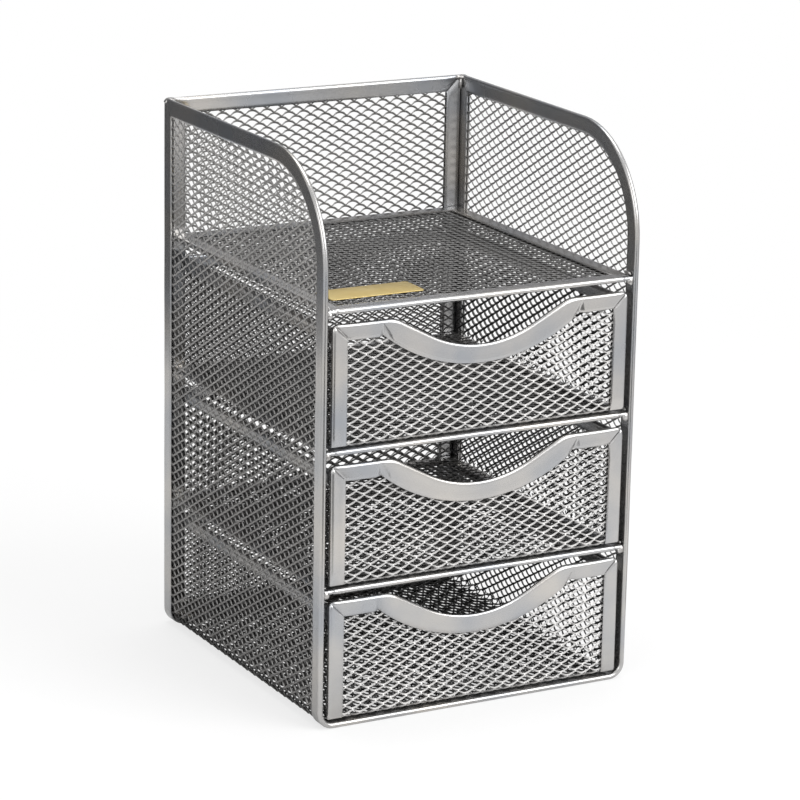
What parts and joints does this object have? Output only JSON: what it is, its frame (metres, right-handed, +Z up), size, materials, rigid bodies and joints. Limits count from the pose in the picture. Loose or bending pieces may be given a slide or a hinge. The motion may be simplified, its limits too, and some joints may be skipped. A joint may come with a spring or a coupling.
{
  "type": "desktop mini drawers",
  "caption": "Small free-standing desk organizer of silver wire net bound with folded metal strip: an open tray on top and sliding net drawers with scooped finger grips below.",
  "frame": {"origin": "centre of the footprint on the surface it stands on", "axes": "+Z up, +Y to the back, +X to the right as seen from the drawers' side; drawers pull out along -Y"},
  "size_m": [0.124, 0.127, 0.199],
  "materials": {
    "net_steel": "satin silver coat on expanded steel net",
    "strip_steel": "satin silver coat on folded steel strip",
    "weld_steel": "satin silver coat over small welds",
    "tag_gold": "satin gold"
  },
  "bodies": {
    "cabinet": {"left_side_net": "net_steel", "right_side_net": "net_steel", "left_front_binding": "strip_steel", "right_front_binding": "strip_steel", "left_rear_binding": "strip_steel", "right_rear_binding": "strip_steel", "front_foot_binding": "strip_steel", "rear_foot_binding": "strip_steel", "floor_net": "net_steel", "back_net": "net_steel", "back_top_rail": "strip_steel", "back_bottom_rail": "strip_steel", "back_left_stile": "strip_steel", "back_right_stile": "strip_steel", "lower_shelf_front_rail": "strip_steel", "lower_shelf_frame": "strip_steel", "lower_shelf_net": "net_steel", "upper_shelf_front_rail": "strip_steel", "upper_shelf_frame": "strip_steel", "upper_shelf_net": "net_steel", "tray_front_rail": "strip_steel", "tray_frame": "strip_steel", "tray_net": "net_steel", "tag_plate": "tag_gold", "weld_beads": "weld_steel"},
    "bottom_drawer": {"bottom_drawer_front_frame": "strip_steel", "bottom_drawer_front_net": "net_steel", "bottom_drawer_left_trim": "strip_steel", "bottom_drawer_left_net": "net_steel", "bottom_drawer_right_trim": "strip_steel", "bottom_drawer_right_net": "net_steel", "bottom_drawer_back_trim": "strip_steel", "bottom_drawer_back_net": "net_steel", "bottom_drawer_floor_net": "net_steel", "bottom_drawer_tack_welds": "weld_steel"},
    "middle_drawer": {"middle_drawer_front_frame": "strip_steel", "middle_drawer_front_net": "net_steel", "middle_drawer_left_trim": "strip_steel", "middle_drawer_left_net": "net_steel", "middle_drawer_right_trim": "strip_steel", "middle_drawer_right_net": "net_steel", "middle_drawer_back_trim": "strip_steel", "middle_drawer_back_net": "net_steel", "middle_drawer_floor_net": "net_steel", "middle_drawer_tack_welds": "weld_steel"},
    "top_drawer": {"top_drawer_front_frame": "strip_steel", "top_drawer_front_net": "net_steel", "top_drawer_left_trim": "strip_steel", "top_drawer_left_net": "net_steel", "top_drawer_right_trim": "strip_steel", "top_drawer_right_net": "net_steel", "top_drawer_back_trim": "strip_steel", "top_drawer_back_net": "net_steel", "top_drawer_floor_net": "net_steel", "top_drawer_tack_welds": "weld_steel"}
  },
  "joints": [
    {"name": "bottom_drawer_slide", "type": "slide", "parent": "cabinet", "child": "bottom_drawer", "axis": [0, -1, 0], "range_m": [0, 0.1]},
    {"name": "middle_drawer_slide", "type": "slide", "parent": "cabinet", "child": "middle_drawer", "axis": [0, -1, 0], "range_m": [0, 0.1]},
    {"name": "top_drawer_slide", "type": "slide", "parent": "cabinet", "child": "top_drawer", "axis": [0, -1, 0], "range_m": [0, 0.1]}
  ]
}
